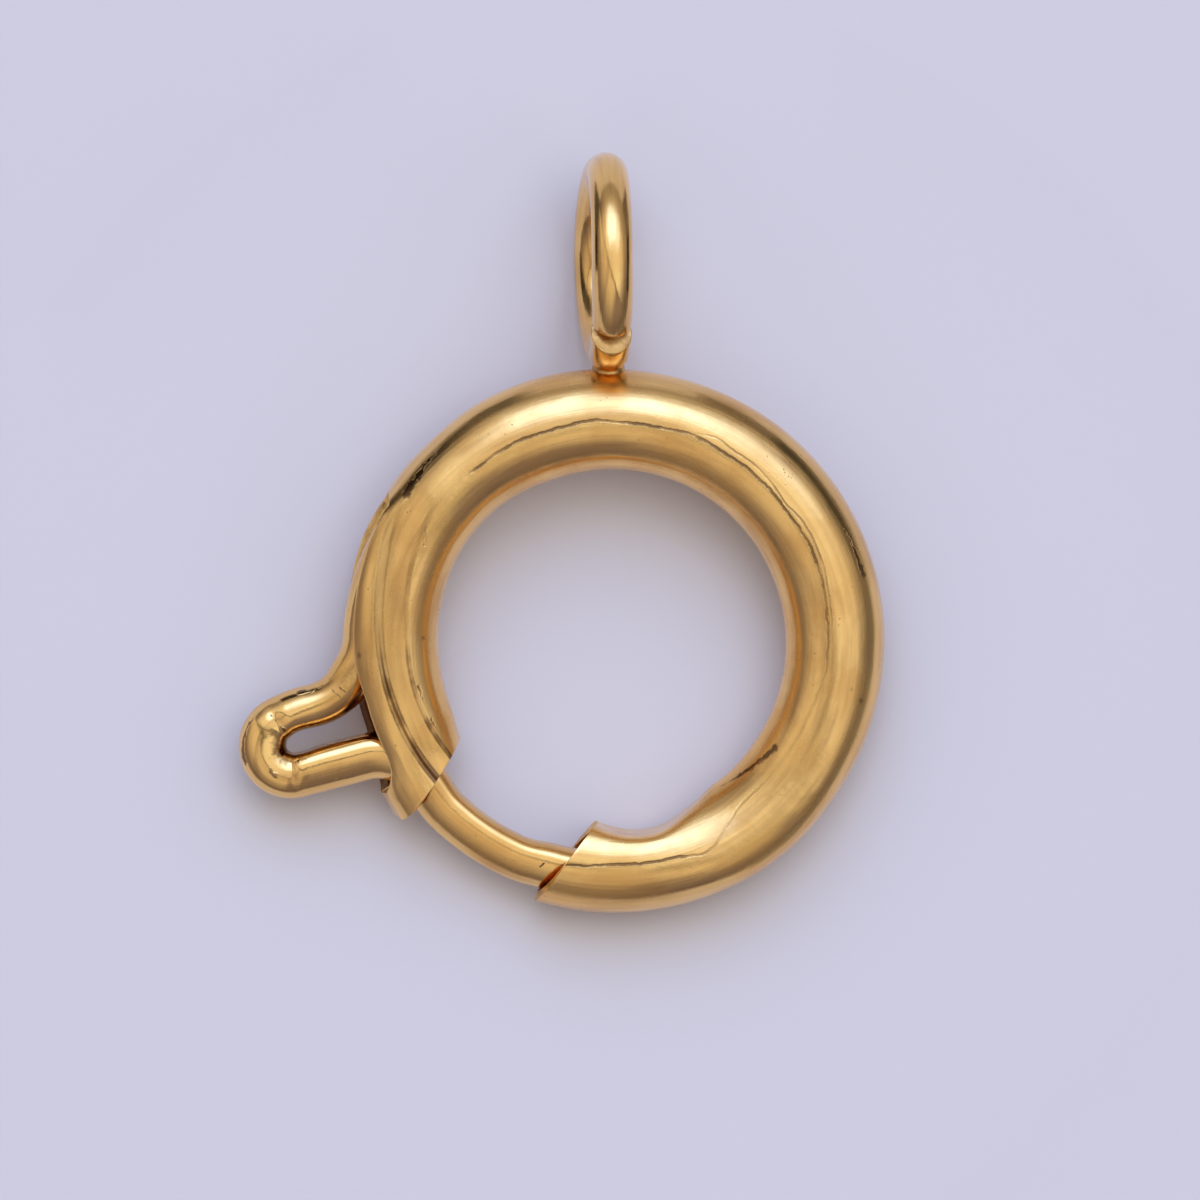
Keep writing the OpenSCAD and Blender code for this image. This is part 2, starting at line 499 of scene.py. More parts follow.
tube = make_piece("tube", tube_points, tube_faces, tube_grain)
# Distances to the painted lines of reflection and shade, and how strongly each shows here
add_marks(tube.data, "line_distances", line_distances)
add_marks(tube.data, "painted_line_strength", painted_line_strength)


# Shared finish of the plate: faint marks along the drawn metal, specks and pits, and single scratches
def new_group(name, inputs, outputs):
    group = bpy.data.node_groups.new(name, "ShaderNodeTree")
    for label, kind, value in inputs:
        socket = group.interface.new_socket(label, in_out="INPUT", socket_type=kind)
        if value is not None:
            socket.default_value = value
    for label, kind in outputs:
        group.interface.new_socket(label, in_out="OUTPUT", socket_type=kind)
    return group, group.nodes.new("NodeGroupInput"), group.nodes.new("NodeGroupOutput")


def feed(tree, socket, value):
    """Links the socket to another one, or sets it to a plain value"""
    if isinstance(value, bpy.types.NodeSocket):
        tree.links.new(value, socket)
    elif value is not None:
        socket.default_value = value


def add_node(tree, kind, settings=None, **inputs):
    """A node with its settings and its inputs, which are given by name or as i0, i1 and so on"""
    made = tree.nodes.new(kind)
    for key, value in (settings or {}).items():
        setattr(made, key, value)
    for key, value in inputs.items():
        numbered = key[0] == "i" and key[1:].isdigit()
        feed(tree, made.inputs[int(key[1:]) if numbered else key.replace("_", " ")], value)
    return made


def math_node(tree, operation, a, b=None, c=None, clamped=False):
    settings = {"operation": operation, "use_clamp": clamped}
    return add_node(tree, "ShaderNodeMath", settings, i0=a, i1=b, i2=c).outputs[0]


def vector_node(tree, operation, a, b):
    made = add_node(tree, "ShaderNodeVectorMath", {"operation": operation}, i0=a)
    feed(tree, made.inputs[3 if operation == "SCALE" else 1], b)
    return made.outputs[1 if operation in ("DOT_PRODUCT", "DISTANCE") else 0]


def remap(tree, value, low, high, to_low=0.0, to_high=1.0):
    made = add_node(
        tree, "ShaderNodeMapRange", {"interpolation_type": "SMOOTHSTEP"},
        Value=value, From_Min=low, From_Max=high, To_Min=to_low, To_Max=to_high)
    return made.outputs[0]


def mix_colour(tree, amount, a, b):
    return add_node(tree, "ShaderNodeMix", {"data_type": "RGBA"}, i0=amount, i6=a, i7=b).outputs[2]


def build_draw_marks():
    group, given, put = new_group(
        "draw_marks",
        [("Grain", "NodeSocketVector", None), ("Length", "NodeSocketFloat", 3.0),
         ("Spacing", "NodeSocketFloat", 0.05), ("Seed", "NodeSocketFloat", 0.0)],
        [("Height", "NodeSocketFloat"), ("Streak", "NodeSocketFloat")],
    )
    parts = add_node(group, "ShaderNodeSeparateXYZ", i0=given.outputs["Grain"])
    along = math_node(group, "DIVIDE", parts.outputs[0], given.outputs["Length"])
    across = math_node(group, "DIVIDE", parts.outputs[1], given.outputs["Spacing"])
    up = math_node(group, "DIVIDE", parts.outputs[2], given.outputs["Spacing"])
    shifted = math_node(group, "ADD", along, given.outputs["Seed"])
    place = add_node(group, "ShaderNodeCombineXYZ", i0=shifted, i1=across, i2=up)
    fine = add_node(group, "ShaderNodeTexNoise", Vector=place.outputs[0], Scale=1.0, Detail=3.0)
    coarse_place = vector_node(group, "SCALE", place.outputs[0], 0.28)
    coarse = add_node(group, "ShaderNodeTexNoise", Vector=coarse_place, Scale=1.0, Detail=2.0)
    height = math_node(group, "ADD", fine.outputs[0], math_node(group, "MULTIPLY", coarse.outputs[0], 1.6))
    streak = remap(group, coarse.outputs[0], 0.42, 0.68)
    group.links.new(height, put.inputs["Height"])
    group.links.new(streak, put.inputs["Streak"])
    return group


def build_specks():
    group, given, put = new_group(
        "specks",
        [("Place", "NodeSocketVector", None), ("Size", "NodeSocketFloat", 0.25),
         ("Share", "NodeSocketFloat", 0.4)],
        [("Mask", "NodeSocketFloat"), ("Depth", "NodeSocketFloat")],
    )
    scale = math_node(group, "DIVIDE", 1.0, given.outputs["Size"])
    cells = add_node(
        group, "ShaderNodeTexVoronoi", {"feature": "F1"}, Vector=given.outputs["Place"], Scale=scale)
    patch = add_node(
        group, "ShaderNodeTexNoise", Vector=given.outputs["Place"],
        Scale=math_node(group, "MULTIPLY", scale, 0.22), Detail=2.0)
    small = remap(group, cells.outputs["Distance"], 0.04, 0.16, 1.0, 0.0)
    limit = math_node(group, "SUBTRACT", 1.0, given.outputs["Share"])
    here = math_node(group, "GREATER_THAN", patch.outputs[0], limit)
    mask = math_node(group, "MULTIPLY", small, here)
    group.links.new(mask, put.inputs["Mask"])
    group.links.new(math_node(group, "MULTIPLY", mask, -1.0), put.inputs["Depth"])
    return group


def build_scratch():
    group, given, put = new_group(
        "scratch",
        [("Place", "NodeSocketVector", None), ("From", "NodeSocketVector", None),
         ("To", "NodeSocketVector", None), ("Width", "NodeSocketFloat", 0.03),
         ("Wander", "NodeSocketFloat", 0.02)],
        [("Mask", "NodeSocketFloat")],
    )
    shake = add_node(group, "ShaderNodeTexNoise", Vector=given.outputs["Place"], Scale=9.0, Detail=2.0)
    offset = vector_node(group, "SUBTRACT", shake.outputs["Color"], (0.5, 0.5, 0.5))
    moved = vector_node(group, "SCALE", offset, given.outputs["Wander"])
    place = vector_node(group, "ADD", given.outputs["Place"], moved)
    run = vector_node(group, "SUBTRACT", given.outputs["To"], given.outputs["From"])
    here = vector_node(group, "SUBTRACT", place, given.outputs["From"])
    along = vector_node(group, "DOT_PRODUCT", here, run)
    square = vector_node(group, "DOT_PRODUCT", run, run)
    share = math_node(group, "DIVIDE", along, square, clamped=True)
    away = vector_node(group, "DISTANCE", here, vector_node(group, "SCALE", run, share))
    taper = math_node(group, "MULTIPLY", math_node(group, "SUBTRACT", 1.15, share), given.outputs["Width"])
    ratio = math_node(group, "DIVIDE", away, taper)
    group.links.new(remap(group, ratio, 0.35, 1.0, 1.0, 0.0), put.inputs["Mask"])
    return group


draw_marks = build_draw_marks()
specks = build_specks()
scratch = build_scratch()


def use_group(tree, group, **inputs):
    return add_node(tree, "ShaderNodeGroup", {"node_tree": group}, **inputs)


def start_metal(name, roughness):
    """A material with a bare metal shader; its colour, roughness and relief come from the caller"""
    made = bpy.data.materials.new(name)
    made.use_nodes = True
    tree = made.node_tree
    shader = tree.nodes["Principled BSDF"]
    shader.inputs["Metallic"].default_value = 1.0
    shader.inputs["Roughness"].default_value = roughness
    return made, tree, shader


def finish_metal(tree, shader, colour, rough, height, relief):
    bump = add_node(tree, "ShaderNodeBump", Height=height, Distance=relief)
    tree.links.new(colour, shader.inputs["Base Color"])
    tree.links.new(rough, shader.inputs["Roughness"])
    tree.links.new(bump.outputs[0], shader.inputs["Normal"])


def stain(tree, colour, mask, amount, tint):
    return mix_colour(tree, math_node(tree, "MULTIPLY", mask, amount), colour, tint)


def add_relief(tree, height, mask, amount):
    return math_node(tree, "ADD", height, math_node(tree, "MULTIPLY", mask, amount))


gold_bright = (0.96, 0.60, 0.20, 1.0)
gold_deep = (0.80, 0.43, 0.11, 1.0)
gold_brown = (0.30, 0.12, 0.035, 1.0)
# Colour of the painted lines of reflection and shade along the tube's top
painted_line_umber = (0.17, 0.075, 0.018, 1.0)
gold_soot = (0.09, 0.026, 0.010, 1.0)
# Dark lines painted on the tube's top: the first two rows are the crest line as painted reflection of the
# dark gap overhead with a wide soft band of painted shade round it, the third the second painted
# reflection line, the last painted shade along the creases
PAINTED_DARK_LINES = [
    # which of the line distances, width, solid middle, how dark, depth, how ragged
    (0, 0.042, 0.012, 0.88, 5.0, 0.11),
    (0, 0.10, 0.02, 0.25, 0.0, 0.05),
    (1, 0.034, 0.008, 0.75, 4.0, 0.06),
    (2, 0.085, 0.045, 0.9, 1.0, 0.03),
]


def plate_gold(name, scratches=(), mark_length=3.0, mark_spacing=0.05, relief=0.000004, shine=0.22,
               speck_share=0.42, with_painted_lines=False):
    """Worn gold plate on drawn metal, following the piece's own grain attribute; when asked for lines it
    also paints dark lines of reflection and shade along the tube's top
    """
    made, tree, shader = start_metal(name, shine)
    shader.inputs["Coat Weight"].default_value = 0.4
    shader.inputs["Coat Roughness"].default_value = 0.12
    grain = add_node(tree, "ShaderNodeAttribute", {"attribute_name": "grain"}).outputs["Vector"]
    marks = use_group(tree, draw_marks, Grain=grain, Length=mark_length, Spacing=mark_spacing)
    pits = use_group(tree, specks, Place=grain, Size=0.16, Share=speck_share)
    dust = use_group(tree, specks, Place=grain, Size=0.55, Share=0.36)
    cloud = add_node(tree, "ShaderNodeTexNoise", Vector=grain, Scale=0.8, Detail=4.0)
    orange_peel = add_node(tree, "ShaderNodeTexNoise", Vector=grain, Scale=5.0, Detail=3.0)
    drawn_out = vector_node(tree, "MULTIPLY", grain, (0.45, 3.4, 3.4))
    tarnish = add_node(tree, "ShaderNodeTexNoise", Vector=drawn_out, Scale=1.0, Detail=5.0)
    warm = remap(tree, cloud.outputs[0], 0.40, 0.66, 0.0, 0.55)
    dull = remap(tree, tarnish.outputs[0], 0.46, 0.74, 0.0, 0.34)
    colour = mix_colour(tree, warm, gold_bright, gold_deep)
    colour = mix_colour(tree, dull, colour, gold_brown)
    colour = stain(tree, colour, marks.outputs["Streak"], 0.16, gold_brown)
    colour = stain(tree, colour, pits.outputs["Mask"], 0.55, gold_brown)
    colour = stain(tree, colour, dust.outputs["Mask"], 0.45, gold_soot)
    height = math_node(tree, "MULTIPLY", marks.outputs["Height"], 0.55)
    height = add_relief(tree, height, orange_peel.outputs[0], 0.9)
    height = add_relief(tree, height, pits.outputs["Depth"], 0.8)
    # Painted reflection and painted shade: dark lines along the top of the tube, sunk a little into the
    # relief
    if with_painted_lines:
        wobble = add_node(tree, "ShaderNodeTexNoise", Vector=grain, Scale=4.0, Detail=5.0, Roughness=0.7)
        broken = add_node(tree, "ShaderNodeTexNoise", Vector=grain, Scale=1.2, Detail=3.0)
        present = remap(tree, broken.outputs[0], 0.36, 0.55, 0.45, 1.0)
        on_top = remap(tree, add_node(tree, "ShaderNodeSeparateXYZ", i0=grain).outputs[2], 0.2, 0.4)
        far = add_node(tree, "ShaderNodeAttribute", {"attribute_name": "line_distances"}).outputs["Vector"]
        line_strengths = add_node(tree, "ShaderNodeAttribute", {"attribute_name": "painted_line_strength"}).outputs["Vector"]
        far = add_node(tree, "ShaderNodeSeparateXYZ", i0=far).outputs
        line_strengths = add_node(tree, "ShaderNodeSeparateXYZ", i0=line_strengths).outputs
        for i, width, solid, tint, depth, ragged in PAINTED_DARK_LINES:
            shake = math_node(tree, "MULTIPLY_ADD", wobble.outputs[0], ragged, -ragged / 2)
            off = math_node(tree, "ABSOLUTE", math_node(tree, "ADD", far[i], shake))
            line = remap(tree, off, solid, width, 1.0, 0.0)
            line = math_node(tree, "MULTIPLY", math_node(tree, "MULTIPLY", line, line_strengths[i]), present)
            line = math_node(tree, "MULTIPLY", line, on_top)
            colour = stain(tree, colour, line, tint, painted_line_umber)
            height = add_relief(tree, height, line, -depth)
    rough = remap(tree, cloud.outputs[0], 0.3, 0.7, shine - 0.03, shine + 0.07)
    for start, end, width, depth, tint in scratches:
        line = use_group(tree, scratch, Place=grain, From=start, To=end, Width=width, Wander=width * 1.6)
        height = add_relief(tree, height, line.outputs["Mask"], -depth)
        colour = stain(tree, colour, line.outputs["Mask"], tint, gold_soot)
    finish_metal(tree, shader, colour, rough, height, relief)
    return made


def tube_spot(angle, r, sunk=0.0):
    """Grain coordinates of a point on top of the tube; it is sunk where the top has shifted outwards"""
    x = r - ring_r
    station = angle if angle > far_end_a else angle + 360
    return (math.radians(station) * ring_r, x, math.sqrt(tube_r * tube_r - x * x) - sunk)


TUBE_SCRATCHES = [
    # from, to, width, depth, how dark
    (tube_spot(151.5, 4.72), tube_spot(147.0, 4.92), 0.045, 3.0, 0.0),
    (tube_spot(143.4, 5.66), tube_spot(131.0, 5.79), 0.15, 2.0, 0.85),
    (tube_spot(16.0, 5.73), tube_spot(27.0, 5.70), 0.09, 2.0, 0.7),
    (tube_spot(327.5, 4.25, 0.14), tube_spot(311.0, 4.01, 0.21), 0.10, 0.6, 0.85),
    (tube_spot(319.0, 4.11, 0.17), tube_spot(304.0, 3.96, 0.26), 0.09, 0.3, 0.5),
    (tube_spot(150.0, 5.18), tube_spot(158.0, 5.06), 0.03, 3.0, 0.4),
    (tube_spot(160.0, 4.95), tube_spot(180.0, 4.80), 0.03, 3.0, 0.5),
    (tube_spot(192.0, 4.37), tube_spot(203.0, 4.30), 0.05, 3.0, 0.6),
    (tube_spot(203.0, 4.30), tube_spot(215.0, 4.18), 0.06, 3.0, 0.8),
]

# The tube's plate also carries the painted dark lines of reflection and shade
tube_gold = plate_gold("tube_gold", TUBE_SCRATCHES, shine=0.23, with_painted_lines=True)


def build_bore_metal():
    """Inside the tube the plate is thin and has tarnished a reddish brown, painted darker as shade inside
    the bore
    """
    made, tree, shader = start_metal("bore_tarnish_and_shade", 0.38)
    place = add_node(tree, "ShaderNodeTexCoord").outputs["Object"]
    cloud = add_node(tree, "ShaderNodeTexNoise", Vector=place, Scale=1400.0, Detail=5.0)
    browner = remap(tree, cloud.outputs[0], 0.35, 0.7)
    # Tarnish and painted shade: reddish brown mottled with near black
    colour = mix_colour(tree, browner, (0.55, 0.19, 0.05, 1), (0.16, 0.045, 0.02, 1))
    rough = remap(tree, cloud.outputs[0], 0.3, 0.7, 0.28, 0.5)
    finish_metal(tree, shader, colour, rough, cloud.outputs[0], 0.00001)
    return made


def build_sawn_metal(name, least_brown, most_brown):
    """Cut faces keep fine saw marks and a duller plate; beside the thumb loop, where the lip lies between
    its legs, painted shade turns them dark red
    """
    made, tree, shader = start_metal(name, 0.3)
    place = add_node(tree, "ShaderNodeTexCoord").outputs["Object"]
    turned = add_node(tree, "ShaderNodeMapping", Vector=place, Scale=(3000.0, 9000.0, 30000.0))
    marks = add_node(tree, "ShaderNodeTexNoise", Vector=turned.outputs[0], Scale=1.0, Detail=3.0)
    cloud = add_node(tree, "ShaderNodeTexNoise", Vector=place, Scale=2600.0, Detail=3.0)
    brown = remap(tree, cloud.outputs[0], 0.4, 0.7, least_brown, most_brown)
    colour = mix_colour(tree, brown, gold_bright, gold_brown)
    # Painted shade: the sawn lip between the thumb loop's legs is darkened to a dark red
    from_loop = vector_node(tree, "DISTANCE", place, at_rest @ polar(5.75, 203, -0.7))
    red = remap(tree, from_loop, 0.0008, 0.0014, 0.92, 0.0)
    colour = mix_colour(tree, red, colour, (0.08, 0.022, 0.012, 1))
    rough = remap(tree, marks.outputs[0], 0.3, 0.7, 0.22, 0.42)
    finish_metal(tree, shader, colour, rough, marks.outputs[0], 0.000005)
    return made


def soften_edges(piece, width, from_angle):
    """The plating has rounded the sharp edges a little"""
    edge = piece.modifiers.new("edge", "BEVEL")
    edge.width = width * MM
    edge.segments = 2
    edge.limit_method = "ANGLE"
    edge.angle_limit = math.radians(from_angle)


bore_tarnish_and_shade = build_bore_metal()
sawn_gold = build_sawn_metal("sawn_gold", 0.05, 0.4)
for metal in (tube_gold, bore_tarnish_and_shade, sawn_gold):
    tube.data.materials.append(metal)

wall = tube.modifiers.new("wall", "SOLIDIFY")
wall.thickness = tube_wall * MM
wall.offset = -1
# The inner shell takes the tarnish with painted shade; the rims take the sawn metal
wall.material_offset = 1
wall.material_offset_rim = 2
soften_edges(tube, 0.018, 55)
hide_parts("ring_case")
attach(tube, "case")

# The eye
# A ring of round gold-plated wire that a chain or a jump ring hooks into. It stands across the tube,
# leans over a little, and its wire was left open where the cutters parted it, just above the ring.
eye_wire_r = 0.45
eye_r = 1.985
eye_reach = 8.395
eye_a = 91.0
eye_lean = 6.5
eye_cut_a = 128.8
eye_cut_in = 0.1
eye_cut_out = 0.45
eye_pinch = 0.05
eye_sides = 40
eye_rows = 150
eye_place = (
    Matrix.Translation(polar(eye_reach, eye_a))
    @ Matrix.Rotation(math.radians(eye_a), 4, "Z")
    @ Matrix.Rotation(math.radians(eye_lean), 4, "X")
    @ Matrix.Rotation(math.radians(90), 4, "X")
)


def sweep_faces(rows, sides, first_cap=True, last_cap=True):
    """Quads between rows of points that run round a bar, and a cap at each end"""
    faces = []
    for i in range(rows - 1):
        for j in range(sides):
            k = (j + 1) % sides
            faces.append((i * sides + j, i * sides + k, (i + 1) * sides + k, (i + 1) * sides + j))
    if first_cap:
        faces.append(tuple(range(sides))[::-1])
    if last_cap:
        faces.append(tuple((rows - 1) * sides + j for j in range(sides)))
    return faces


def eye_sway(angle):
    """The eye isn't flat: its two arms stand over to the left and its top to the right"""
    up = math.sin(math.radians(angle))
    out = math.cos(math.radians(angle))
    return -0.0735 * abs(up) - 0.0265 * up + 0.04 * max(out, 0)


eye_points = []
eye_grain = []
for i in range(eye_rows + 1):
    share = i / eye_rows
    for j in range(eye_sides):
        turn = 360 * j / eye_sides
        out = eye_wire_r * math.cos(math.radians(turn))
        side = eye_wire_r * math.sin(math.radians(turn))
        wedge = mix(eye_cut_in, eye_cut_out, (out / eye_wire_r + 1) / 2)
        first = eye_cut_a + math.degrees(wedge / eye_r)
        last = eye_cut_a + 360
        ragged = noise.noise(Vector((out * 4, side * 4, 1.0 if share < 0.5 else 5.0)))
        near_first = max(0.0, 1 - share * 12)
        near_last = max(0.0, 1 - (1 - share) * 12)
        first += 1.2 * ragged * near_first
        last += 1.6 * ragged * near_last
        angle = mix(first, last, share)
        pinch = 1 - eye_pinch * near_last ** 2
        p = polar(eye_r + out * pinch, angle, side * pinch + eye_sway(angle))
        eye_points.append(eye_place @ p)
        eye_grain.append((math.radians(angle) * eye_r, out, side))
eye = make_piece("eye", eye_points, sweep_faces(eye_rows + 1, eye_sides), eye_grain)
eye_gold = plate_gold("eye_gold", mark_length=1.6, mark_spacing=0.06, shine=0.15, speck_share=0.36)
eye.data.materials.append(eye_gold)
eye.data.materials.append(build_sawn_metal("parted_gold", 0.4, 0.8))
for cut_face in (eye.data.polygons[-2], eye.data.polygons[-1]):
    cut_face.material_index = 1
soften_edges(eye, 0.02, 50)
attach(eye, "case")

# The solder
# A small fillet of solder that ran round the foot of the eye, where it joins the tube. It took the
# plate badly and has stained brown.
top_along = 0.35
foot_along = 0.38
solder_across = 0.41
foot_sunk = 0.012
top_sunk = 0.02
solder_rows = 12
solder_sides = 56
solder_points = []
solder_grain = []
for i in range(solder_rows + 1):
    t = i / solder_rows
    for j in range(solder_sides):
        spread = math.radians(360 * j / solder_sides)
        run = 1 + 0.04 * noise.noise(Vector((math.cos(spread) * 1.5, math.sin(spread) * 1.5, 3.0)))
        top_s = top_along * math.cos(spread)
        top_z = solder_across * math.sin(spread)
        foot_s = foot_along * run * math.cos(spread)
        foot_z = solder_across * run * math.sin(spread)
        eye_rad = eye_r + math.sqrt(eye_wire_r ** 2 - top_s ** 2)
        top_out = eye_reach - math.sqrt(eye_rad ** 2 - top_z ** 2)
        foot_out = ring_r + math.sqrt(tube_r ** 2 - foot_z ** 2) - foot_sunk
        neck_s = mix(top_s, foot_s, 0.5)
        neck_z = mix(top_z, foot_z, 0.5)
        neck_out = mix(foot_out, top_out, 0.45)
        a = (1 - t) ** 2
        b = 2 * t * (1 - t)
        c = t * t
        s = a * top_s + b * neck_s + c * foot_s
        z = a * top_z + b * neck_z + c * foot_z
        out = a * (top_out + top_sunk) + b * neck_out + c * foot_out
        lean = Matrix.Rotation(math.radians(eye_lean), 4, "X")
        tipped = lean @ Vector((0, s, z))
        p = Matrix.Rotation(math.radians(eye_a), 4, "Z") @ Vector((out, tipped.y, tipped.z))
        solder_points.append(p)
        solder_grain.append((s * 2, out, z * 2))
solder = make_piece("solder", solder_points, sweep_faces(solder_rows + 1, solder_sides), solder_grain)
solder.data.materials.append(build_sawn_metal("stained_solder", 0.45, 0.85))
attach(solder, "case")

# The return spring
# A coil of hard-drawn steel wire that lies in the tube between the pinch and the bolt's tail, and
# pushes the bolt shut. It is wound straight and takes the tube's curve when it is fed in.
coil_r = 0.575
coil_wire_r = 0.125
coil_turns = 22
coil_from_a = 122.6
coil_to_a = -61.5


def build_coil_tree(metal):
    tree = bpy.data.node_groups.new("wound_spring", "GeometryNodeTree")
    tree.interface.new_socket("Geometry", in_out="OUTPUT", socket_type="NodeSocketGeometry")
    given = {}
    for label, value in (("Ring Radius", ring_r), ("Coil Radius", coil_r), ("Wire Radius", coil_wire_r),
                         ("Turns", coil_turns), ("From Angle", math.radians(coil_from_a)),
                         ("To Angle", math.radians(coil_to_a)), ("Points per Turn", 20)):
        kind = "NodeSocketInt" if label == "Points per Turn" else "NodeSocketFloat"
        socket = tree.interface.new_socket(label, in_out="INPUT", socket_type=kind)
        given[label] = (socket.identifier, value)
    inputs = tree.nodes.new("NodeGroupInput").outputs
    output = tree.nodes.new("NodeGroupOutput")
    count = math_node(tree, "MULTIPLY", inputs["Turns"], inputs["Points per Turn"])
    line = tree.nodes.new("GeometryNodeCurvePrimitiveLine")
    spaced = add_node(tree, "GeometryNodeResampleCurve", i0=line.outputs[0], Count=count)
    share = tree.nodes.new("GeometryNodeSplineParameter").outputs["Factor"]
    sweep = math_node(tree, "SUBTRACT", inputs["To Angle"], inputs["From Angle"])
    ring_turn = math_node(tree, "MULTIPLY_ADD", sweep, share, inputs["From Angle"])
    whole = math_node(tree, "MULTIPLY", inputs["Turns"], 2 * math.pi)
    coil_turn = math_node(tree, "MULTIPLY", whole, share)
    lean = math_node(tree, "COSINE", coil_turn)
    reach = math_node(tree, "MULTIPLY_ADD", lean, inputs["Coil Radius"], inputs["Ring Radius"])
    x = math_node(tree, "MULTIPLY", math_node(tree, "COSINE", ring_turn), reach)
    y = math_node(tree, "MULTIPLY", math_node(tree, "SINE", ring_turn), reach)
    z = math_node(tree, "MULTIPLY", math_node(tree, "SINE", coil_turn), inputs["Coil Radius"])
    place = add_node(tree, "ShaderNodeCombineXYZ", i0=x, i1=y, i2=z)
    coil = add_node(tree, "GeometryNodeSetPosition", i0=spaced.outputs[0], Position=place.outputs[0])
    section = add_node(
        tree, "GeometryNodeCurvePrimitiveCircle", Resolution=10, Radius=inputs["Wire Radius"])
    wire = add_node(
        tree, "GeometryNodeCurveToMesh", Curve=coil.outputs[0], Profile_Curve=section.outputs[0],
        Fill_Caps=True)
    smooth = add_node(tree, "GeometryNodeSetShadeSmooth", i0=wire.outputs[0])
    real = add_node(tree, "GeometryNodeRealizeInstances", i0=smooth.outputs[0])
    finished = add_node(tree, "GeometryNodeSetMaterial", i0=real.outputs[0], Material=metal)
    tree.links.new(finished.outputs[0], output.inputs[0])
    return tree, given


def build_spring_metal():
    made, tree, shader = start_metal("spring_steel", 0.3)
    place = add_node(tree, "ShaderNodeTexCoord").outputs["Object"]
    cloud = add_node(tree, "ShaderNodeTexNoise", Vector=place, Scale=3000.0, Detail=4.0)
    darker = remap(tree, cloud.outputs[0], 0.35, 0.7)
    colour = mix_colour(tree, darker, (0.60, 0.57, 0.52, 1), (0.30, 0.24, 0.19, 1))
    rough = remap(tree, cloud.outputs[0], 0.3, 0.7, 0.24, 0.4)
    finish_metal(tree, shader, colour, rough, cloud.outputs[0], 0.000004)
    return made


spring_steel = build_spring_metal()
coil_tree, coil_sizes = build_coil_tree(spring_steel)
former = bpy.data.objects.new("coil_former", bpy.data.meshes.new("coil_former"))
bpy.context.scene.collection.objects.link(former)
winding = former.modifiers.new("winding", "NODES")
winding.node_group = coil_tree
for identifier, value in coil_sizes.values():
    winding[identifier] = value
bpy.context.view_layer.update()
wound = former.evaluated_get(bpy.context.evaluated_depsgraph_get())
coil_mesh = bpy.data.meshes.new_from_object(wound)
former.modifiers.remove(winding)
bpy.data.objects.remove(former)
coil_mesh.transform(at_rest)
coil_mesh.shade_smooth()
spring = bpy.data.objects.new("coil_spring", coil_mesh)
bpy.context.scene.collection.objects.link(spring)
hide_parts("return_spring")
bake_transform(spring)

# The bolt
# One length of gold-plated wire. It closes the gap as the gate, turns out through the slot into the
# thumb loop, doubles back, and goes into the tube again as a tail that bears on the spring.
wire_r = 0.525
wire_fit = 0.04
gate_r = ring_r + bore_r - wire_r - wire_fit
gate_lap = 0.5
root_a = 215.7
root_r = 0.675 + wire_r
root_c = polar(gate_r + root_r, root_a)
loop_r = 0.115 + wire_r
loop_a = 198.2
loop_c = polar(ring_r + tube_r + 2.67 - loop_r - wire_r, loop_a)
swing = 33.0
drift = 0.25
tail_long = 1.1
wire_step = 0.05
gate_bow = 0.04
leg_sway = 0.075
leg_slim = 0.08
lopside_most = 0.30
tip_bevel = 0.12
wire_sides = 40
tail_start_a = slot_from + swing
tail_start_r = gate_r + drift
tail_dir = tail_start_a + 10
tail_off = (tail_start_r ** 2 - gate_r ** 2) / 2 / (
    tail_start_r * math.cos(math.radians(tail_start_a - tail_dir))
    - gate_r * math.cos(math.radians(slot_from - tail_dir))
)
tail_c = polar(tail_off, tail_dir)
tail_r = (polar(gate_r, slot_from) - tail_c).length
tail_root_a = bearing(polar(tail_start_r, tail_start_a) - tail_c)
tail_end_a = bearing(polar(gate_r, slot_from) - tail_c) - math.degrees(tail_long / tail_r)
tail_bend_r = 0.975 + wire_r
tail_bend_c = tail_c + polar(tail_r + tail_bend_r, tail_root_a)


def crossing(c1, r1, c2, r2):
    return math.degrees(math.asin((r1 + r2) / (c2 - c1).length))


lower_leg_a = bearing(loop_c - root_c) + crossing(root_c, root_r, loop_c, loop_r)
upper_leg_a = bearing(tail_bend_c - loop_c) - crossing(loop_c, loop_r, tail_bend_c, tail_bend_r)
gate_tip_a = sawn_at(gate_r, 1) + math.degrees(gate_lap / gate_r)
BOLT_BENDS = [
    # middle, radius, first angle, last angle
    (Vector((0, 0, 0)), gate_r, gate_tip_a, root_a),
    (root_c, root_r, root_a - 180, lower_leg_a - 90),
    (loop_c, loop_r, lower_leg_a + 90, upper_leg_a + 90),
    (tail_bend_c, tail_bend_r, upper_leg_a - 90, tail_root_a - 180),
    (tail_c, tail_r, tail_root_a, tail_end_a),
]
wire_path = []
for middle, r, first, last in BOLT_BENDS:
    count = max(6, round(abs(math.radians(last - first)) * r / wire_step))
    bend = [middle + polar(r, a) for a in steps(first, last, count)]
    if wire_path:
        leg = bend[0] - wire_path[-1]
        pieces = round(leg.length / wire_step)
        start = wire_path[-1]
        wire_path += [start + leg * i / pieces for i in range(1, pieces)]
        if leg.length < 0.001:
            bend = bend[1:]
    wire_path += bend

wire_along = [0.0]
for before, after in zip(wire_path, wire_path[1:]):
    wire_along.append(wire_along[-1] + (after - before).length)
wire_long = wire_along[-1]
gate_long = math.radians(gate_tip_a - root_a) * gate_r
round_loop = [s for s, p in zip(wire_along, wire_path) if (p - loop_c).length < loop_r + 0.001]
turn_from = round_loop[0]
turn_to = round_loop[-1]

